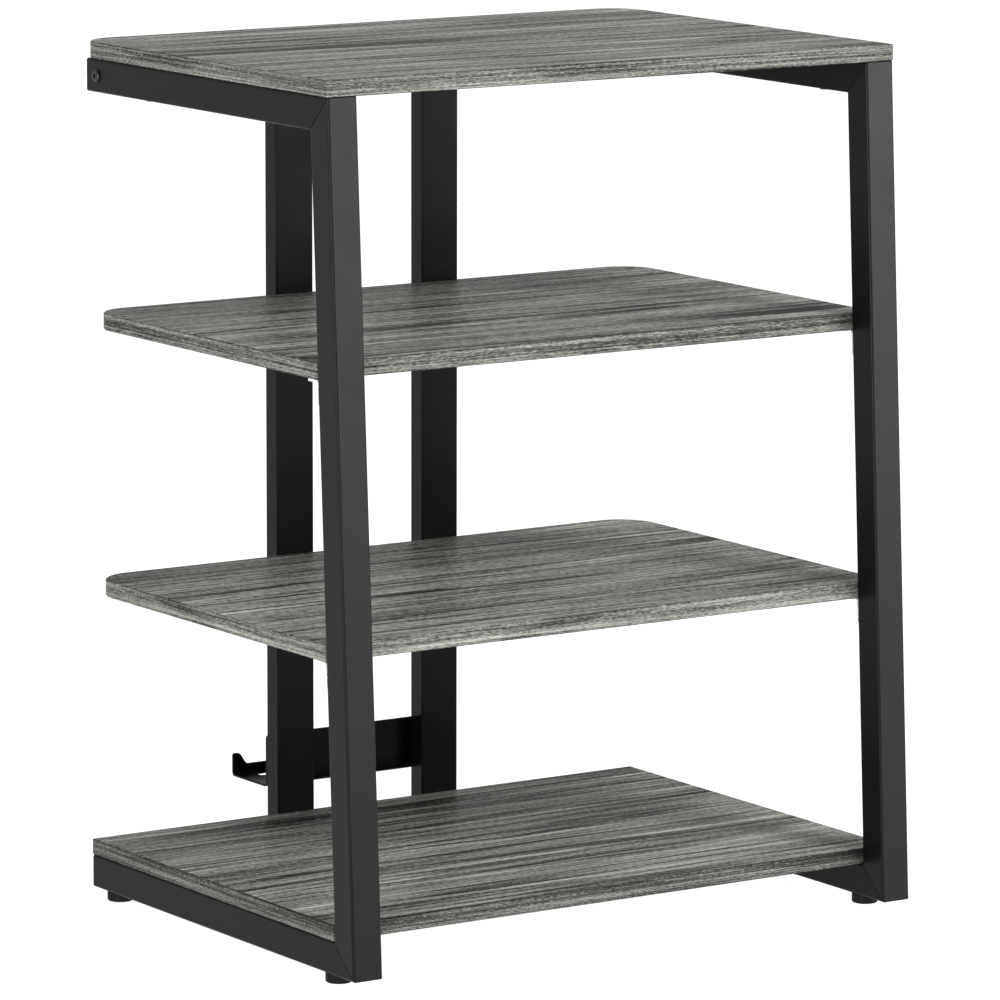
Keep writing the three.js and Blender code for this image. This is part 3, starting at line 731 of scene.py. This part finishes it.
def plate(name, fronts, backs, faces):
    """A closed mesh of the same faces in front and behind, with a wall along each free edge."""
    made = bmesh.new()
    front = [made.verts.new(place) for place in fronts]
    back = [made.verts.new(place) for place in backs]
    used = set()
    for face in faces:
        made.faces.new([front[index] for index in face])
        made.faces.new([back[index] for index in reversed(face)])
        used.update(zip(face, face[1:] + face[:1]))
    for start, end in sorted(used):
        if (end, start) not in used:
            made.faces.new([front[end], front[start], back[start], back[end]])
    loose = [vert for vert in made.verts if not vert.link_faces]
    bmesh.ops.delete(made, geom=loose, context="VERTS")
    bmesh.ops.recalc_face_normals(made, faces=made.faces[:])
    return finished(name, made)


def quarter(steps):
    """Even angles from zero to a quarter turn."""
    return [index / steps * math.pi / 2 for index in range(steps + 1)]


def threaded(radius, pitch, bottom, top):
    """Rings of a right-handed thread with that outer radius."""
    count = math.ceil(THREAD_STEPS * (top - bottom) / pitch)
    depth = THREAD_DEPTH_SHARE * pitch

    def reach_at(height):
        return lambda angle: radius - depth * abs(2 * ((height / pitch - angle / (2 * math.pi)) % 1) - 1)

    heights = [bottom + (top - bottom) * index / count for index in range(count + 1)]
    return [(reach_at(height), height) for height in heights]


def hexagon(flats):
    """The outline of a hexagon of that width across its flats."""
    return lambda angle: flats / 2 / math.cos(angle % (math.pi / 3) - math.pi / 6)


def cross_recess(reach):
    """The outline of a cross recess with four tapered wings."""
    return lambda angle: RECESS_CORE + (reach - RECESS_CORE) * abs(math.cos(2 * angle)) ** RECESS_SLIMNESS


def crown(head, rim, flat, height):
    """Rings of a rounded head from its rim up to the flat on top."""
    turns = quarter(ROUND_STEPS)
    return [(flat + (head - flat) * math.cos(t), rim + (height - rim) * math.sin(t)) for t in turns]


def button_bolt(name, length, head, kind):
    """A button head bolt along +Z with a hexagon socket; its head bears at zero."""
    shank = kind["shank"] / 2
    socket = kind["socket"]
    pitch = kind["pitch"]
    core = shank - THREAD_DEPTH_SHARE * pitch
    thread_top = min(0.0, BOLT_THREAD_LENGTH - length) - pitch
    rings = [(core - BOLT_HEAD_EDGE, -length), (core, BOLT_HEAD_EDGE - length)]
    rings += threaded(shank, pitch, 2 * BOLT_HEAD_EDGE - length, thread_top)
    rings += [(shank, thread_top + pitch / 2), (shank, 0)]
    rings += [(head / 2 - BOLT_HEAD_EDGE, 0), (head / 2, BOLT_HEAD_EDGE)]
    rim = BOLT_HEAD_HEIGHT * BOLT_RIM_SHARE
    rings += crown(head / 2, rim, head / 2 * BOLT_FLAT_SHARE, BOLT_HEAD_HEIGHT)
    floor = BOLT_HEAD_HEIGHT - BOLT_SOCKET_DEPTH
    rings.append((hexagon(socket + BOLT_SOCKET_CHAMFER), BOLT_HEAD_HEIGHT))
    rings.append((hexagon(socket), BOLT_HEAD_HEIGHT - BOLT_SOCKET_CHAMFER / 2))
    rings += [(hexagon(socket), floor), (BOLT_SOCKET_CONE, floor - BOLT_SOCKET_CONE)]
    return turned(name, rings)


def pan_screw(name, length):
    """A pan head screw along +Z with a cross recess and a coarse thread; its head bears at zero."""
    shank = SCREW_SHANK / 2
    head = SCREW_HEAD / 2
    rings = [(SCREW_TIP / 2, -length)]
    rings += threaded(shank, SCREW_PITCH, SCREW_PITCH / 2 - length, -SCREW_PITCH / 2)
    rings += [(shank, 0), (head - BOLT_HEAD_EDGE, 0), (head, BOLT_HEAD_EDGE)]
    rings += crown(head, SCREW_HEAD_HEIGHT * SCREW_RIM_SHARE, head * SCREW_FLAT_SHARE, SCREW_HEAD_HEIGHT)
    rings.append((cross_recess(RECESS_REACH), SCREW_HEAD_HEIGHT))
    rings.append((cross_recess(RECESS_FLOOR_REACH), SCREW_HEAD_HEIGHT - RECESS_DEPTH))
    return turned(name, rings)


def pointing(place, direction):
    """The matrix that brings a piece made along +Z to a place and points it that way."""
    return Matrix.Translation(place) @ Vector(direction).to_track_quat("Z", "Y").to_matrix().to_4x4()


def add_piece(mesh, matrix, body, slot, replaced=(), finish=None):
    """Adds a piece with that matrix on its body, in the finish of its slot unless another is named."""
    piece = bpy.data.objects.new(mesh.name, mesh)
    bpy.context.scene.collection.objects.link(piece)
    piece.matrix_world = matrix
    mesh.materials.append(materials[finish or slot])
    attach(piece, body)
    if replaced:
        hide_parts(*replaced)


# Bolts
def add_bolt(node):
    """A finer bolt in the place of a CAD one, its head at the end where that one is widest."""
    low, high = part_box(node)
    size = high - low
    axis = max(range(3), key=lambda index: size[index])
    sides = [index for index in range(3) if index != axis]
    place = (low + high) / 2

    def width_at(vertex):
        return max(abs(vertex.co[side] - place[side]) for side in sides)

    widest = max(nodes[node].data.vertices, key=width_at)
    outward = 1 if widest.co[axis] > place[axis] else -1
    direction = Vector((0, 0, 0))
    direction[axis] = outward
    place[axis] = (high if outward > 0 else low)[axis] - outward * BOLT_HEAD_HEIGHT
    head = size[sides[0]]
    kind = LARGE_BOLT if head > LARGE_BOLT_HEAD else SMALL_BOLT
    mesh = button_bolt(node + "_fine", size[axis] - BOLT_HEAD_HEIGHT, head, kind)
    add_piece(mesh, pointing(place, direction), "frame", "black_bolt", [node])


# Screws of the shelf brackets
def leg_lean():
    """How far a front leg leans back, from its height, and its depth less the width of its tube."""
    low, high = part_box("left_front_leg")
    width = high.x - low.x
    return math.atan2(high.y - low.y - width, high.z - low.z)


def add_screw(name, length, place, direction):
    """A screw whose head bears on its bracket at a place and points that way."""
    add_piece(pan_screw(name, length), pointing(place, direction), "frame", "white_bracket")


def add_bracket_screws(node):
    """Two screws up into the shelf and one into the leg or the post."""
    low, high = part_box(node)
    on_leg = "leg" in node
    inward = 1 if on_leg else -1
    middle = (low.x + high.x) / 2
    place_y = high.y - BRACKET_HOLE_INSET if on_leg else low.y + BRACKET_HOLE_INSET
    for side, word in ((-1, "left"), (1, "right")):
        place = (middle + side * BRACKET_HOLE_SPACING / 2, place_y, high.z - BRACKET_SHEET)
        add_screw(node + "_" + word + "_screw", SHELF_SCREW_LENGTH, place, (0, 0, -1))

    # The drop leans with the leg, so the screw stands square to the line between its upper and lower ends
    lean = leg_lean() if on_leg else 0.0
    tip_y = low.y if on_leg else high.y
    place_y = tip_y + inward * (math.sin(lean) * BRACKET_HOLE_INSET + math.cos(lean) * BRACKET_SHEET)
    place = (middle, place_y, low.z + math.cos(lean) * BRACKET_HOLE_INSET)
    direction = (0, inward * math.cos(lean), -math.sin(lean))
    add_screw(node + "_frame_screw", FRAME_SCREW_LENGTH, place, direction)


# Levelling feet
def add_foot(node):
    """A smooth pad with a threaded stem, which rides on the foot's own body."""
    low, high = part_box(node)
    radius = (high.x - low.x) / 2
    height = high.z - low.z
    inner = radius - FOOT_EDGE_RADIUS
    rings = [
        (inner + FOOT_EDGE_RADIUS * math.sin(t), FOOT_EDGE_RADIUS * (1 - math.cos(t)))
        for t in quarter(ROUND_STEPS)
    ]
    rings += [(radius, FOOT_PAD_HEIGHT - FOOT_TOP_EDGE), (radius - FOOT_TOP_EDGE, FOOT_PAD_HEIGHT)]
    rings.append((FOOT_STEM / 2, FOOT_PAD_HEIGHT))
    rings += threaded(FOOT_STEM / 2, FOOT_PITCH, FOOT_PAD_HEIGHT + FOOT_PITCH / 2, height - FOOT_PITCH / 2)
    rings.append((FOOT_STEM / 2 - FOOT_PITCH, height))
    mesh = turned(node + "_fine", rings)
    place = ((low.x + high.x) / 2, (low.y + high.y) / 2, low.z)
    add_piece(mesh, Matrix.Translation(place), node, "black_foot", [node])


# Power strip holder
class Fold:
    """The holder's folded sheet, and where a place on the flat sheet ends up on it."""

    def __init__(self, low, high):
        self.top = high.z
        self.radius = HOLDER_BEND + HOLDER_SHEET / 2
        self.plate = low.y + HOLDER_SHEET / 2
        self.floor = low.z + HOLDER_SHEET / 2
        self.lip = high.y - HOLDER_SHEET / 2
        self.plate_run = self.top - self.floor - self.radius
        self.arc = self.radius * math.pi / 2
        self.floor_run = self.lip - self.plate - 2 * self.radius

    def at_depth(self, y):
        """How far along the flat sheet a place on the floor is."""
        return self.plate_run + self.arc + y - self.plate - self.radius

    def at_lip_height(self, z):
        """How far along the flat sheet a height of the lip is."""
        return self.plate_run + 2 * self.arc + self.floor_run + z - self.floor - self.radius

    def bend_lines(self):
        """Where the flat sheet is divided so that both bends are round."""
        starts = (self.plate_run, self.plate_run + self.arc + self.floor_run)
        steps = range(HOLDER_BEND_STEPS + 1)
        return [start + index / HOLDER_BEND_STEPS * self.arc for start in starts for index in steps]

    def place(self, x, along, over):
        """Where a place goes that is that far along the flat sheet and over its middle."""
        if along <= self.plate_run:
            return (x, self.plate - over, self.top - along)
        along -= self.plate_run
        centre = self.floor + self.radius
        reach = self.radius + over
        if along < self.arc:
            turn = along / self.radius
            return (x, self.plate + self.radius - reach * math.cos(turn), centre - reach * math.sin(turn))
        along -= self.arc
        if along <= self.floor_run:
            return (x, self.plate + self.radius + along, self.floor - over)
        along -= self.floor_run
        if along < self.arc:
            turn = along / self.radius
            return (x, self.lip - self.radius + reach * math.sin(turn), centre - reach * math.cos(turn))
        return (x, self.lip + over, centre + along - self.arc)


def corner_arc(centre, radius, start):
    """Points of a quarter circle, counterclockwise from the start angle."""
    turns = [start + turn for turn in quarter(HOLDER_CORNER_STEPS)]
    return [(centre[0] + radius * math.cos(t), centre[1] + radius * math.sin(t)) for t in turns]


def rounded_loop(middle, length, width, radius):
    """The outline of an oblong with rounded corners."""
    points = []
    for index, (side, end) in enumerate(((1, 1), (-1, 1), (-1, -1), (1, -1))):
        centre = (middle[0] + side * (length / 2 - radius), middle[1] + end * (width / 2 - radius))
        points += corner_arc(centre, radius, index * math.pi / 2)
    return points


def hook_curve(start, end):
    """A curve that leaves and arrives level, from the hook's top down to the lip."""
    points = []
    for index in range(1, HOLDER_HOOK_STEPS + 1):
        t = index / HOLDER_HOOK_STEPS
        share = 3 * t ** 2 - 2 * t ** 3
        pull = 3 * t * (1 - t) * (1 - 2 * t) * HOLDER_HOOK_PULL
        x = start[0] + share * (end[0] - start[0]) - pull
        points.append((x, start[1] + share * (end[1] - start[1])))
    return points


def holder_outline(fold, half, lip, hook):
    """The flat sheet's outline: rounded plate, straight sides, and a lip with a hook at each end."""
    right = corner_arc((half - HOLDER_CORNER, HOLDER_CORNER), HOLDER_CORNER, -math.pi / 2)
    right += [(half, along) for along in fold.bend_lines()]
    right += corner_arc((half - HOLDER_HOOK_CORNER, hook - HOLDER_HOOK_CORNER), HOLDER_HOOK_CORNER, 0)
    top = half - HOLDER_HOOK_WIDTH
    right.append((top, hook))
    right += hook_curve((top, hook), (top - HOLDER_HOOK_RUN, lip))
    return right + [(-x, along) for x, along in reversed(right)]


def holder_holes(fold, half, high):
    """The windows of the floor in a row, and a round hole for each bolt of the plate."""
    depth = fold.at_depth(high.y - WINDOW_LIP_INSET - WINDOW_WIDTH / 2)
    first = -half + WINDOW_END_INSET + WINDOW_LENGTH / 2
    pitch = -2 * first / (WINDOW_COUNT - 1)
    centres = [(first + index * pitch, depth) for index in range(WINDOW_COUNT)]
    holes = [rounded_loop(centre, WINDOW_LENGTH, WINDOW_WIDTH, WINDOW_CORNER) for centre in centres]
    for bolt in [name for name in nodes if "_holder_" in name]:
        bolt_low, bolt_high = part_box(bolt)
        middle = (bolt_low + bolt_high) / 2
        centre = (middle.x, high.z - middle.z)
        holes.append(rounded_loop(centre, 2 * HOLDER_BOLT_HOLE, 2 * HOLDER_BOLT_HOLE, HOLDER_BOLT_HOLE))
    return holes


def inside(point, loop):
    """Says whether a point of the flat sheet lies within a closed loop."""
    found = False
    for (ax, ay), (bx, by) in zip(loop, loop[1:] + loop[:1]):
        if (ay > point[1]) != (by > point[1]) and point[0] < ax + (point[1] - ay) / (by - ay) * (bx - ax):
            found = not found
    return found


def cut_sheet(outline, holes, bends, half):
    """The corners of the flat sheet and the faces between them, which no bend line crosses."""
    points = []
    edges = []
    for loop in [outline] + holes:
        start = len(points)
        points += loop
        edges += [(start + index, start + (index + 1) % len(loop)) for index in range(len(loop))]
    for bend in bends:
        on_bend = [
            index
            for index, (x, along) in enumerate(outline)
            if abs(along - bend) < TOLERANCE and abs(abs(x) - half) < TOLERANCE
        ]
        edges.append((min(on_bend), max(on_bend)))
    flat = delaunay_2d_cdt([Vector(point) for point in points], edges, [], 0, TOLERANCE)
    corners = flat[0]
    faces = []
    for face in flat[2]:
        middle = sum((corners[index] for index in face), Vector((0, 0))) / len(face)
        if inside(middle, outline) and not any(inside(middle, hole) for hole in holes):
            faces.append(face)
    return corners, faces


def add_holder(node):
    """The holder as one sheet, cut flat with its windows and bolt holes and then folded."""
    low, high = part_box(node)
    fold = Fold(low, high)
    half = (high.x - low.x) / 2
    lip = fold.at_lip_height(low.z + HOLDER_LIP)
    hook = fold.at_lip_height(low.z + HOLDER_HOOK)
    outline = holder_outline(fold, half, lip, hook)
    corners, faces = cut_sheet(outline, holder_holes(fold, half, high), fold.bend_lines(), half)
    outer, inner = (
        [fold.place(corner.x, corner.y, over) for corner in corners]
        for over in (HOLDER_SHEET / 2, -HOLDER_SHEET / 2)
    )
    mesh = plate(node + "_fine", outer, inner, faces)
    add_piece(mesh, Matrix.Identity(4), "frame", "black_sheet", [node])


# Weld seams: dark strips without sheen over the mitre joints, which paint the shade in their grooves
def mitre_face(leg, end):
    """A tube's mitre face at its top or bottom end: its corners, the faces between them, and its normal."""
    low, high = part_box(leg)
    middle = (low.z + high.z) / 2
    made = bmesh.new()
    made.from_mesh(nodes[leg].data)

    def elsewhere(face):
        slanted = abs(face.normal.y) > MITRE_SLANT and abs(face.normal.z) > MITRE_SLANT
        return not slanted or (face.calc_center_median().z > middle) != (end == "top")

    bmesh.ops.delete(made, geom=[face for face in made.faces if elsewhere(face)], context="FACES")
    bmesh.ops.remove_doubles(made, verts=made.verts[:], dist=TOLERANCE)
    made.verts.index_update()
    corners = [vert.co.copy() for vert in made.verts]
    faces = [[vert.index for vert in face.verts] for face in made.faces]
    outward = made.faces[:][0].normal.copy()
    made.free()
    return corners, faces, outward


def within_box(place):
    """The nearest place inside the model's box."""
    return [min(max(place[axis], cad_box[0][axis]), cad_box[1][axis]) for axis in range(3)]


def add_weld(leg, end):
    """The seam of a mitre joint: the tube's mitre face, thickened over the gap and a hair proud of it, in a
    dark finish without sheen that paints the shade in the groove.
    """
    low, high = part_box(leg)
    corners, faces, outward = mitre_face(leg, end)
    lowest = Vector(min(corner[axis] for corner in corners) for axis in range(3))
    highest = Vector(max(corner[axis] for corner in corners) for axis in range(3))
    centre = (lowest + highest) / 2
    growth = 1 + SEAM_RISE / ((high.x - low.x) / 2)
    grown = [centre + growth * (corner - centre) for corner in corners]
    start = (MITRE_GAP - SEAM_WIDTH) / 2
    fronts, backs = (
        [within_box(place + outward * reach) for place in grown]
        for reach in (start + SEAM_WIDTH, start)
    )
    mesh = plate(leg + "_" + end + "_weld", fronts, backs, faces)
    add_piece(mesh, Matrix.Identity(4), "frame", "black_frame", finish="seam_shade")


for name in list(nodes):
    if name.endswith("_bolt"):
        add_bolt(name)
    elif name.endswith("_bracket"):
        add_bracket_screws(name)
    elif name.endswith("_foot"):
        add_foot(name)
    elif name == "power_strip_holder":
        add_holder(name)
    elif name.endswith("_front_leg"):
        add_weld(name, "top")
        add_weld(name, "bottom")
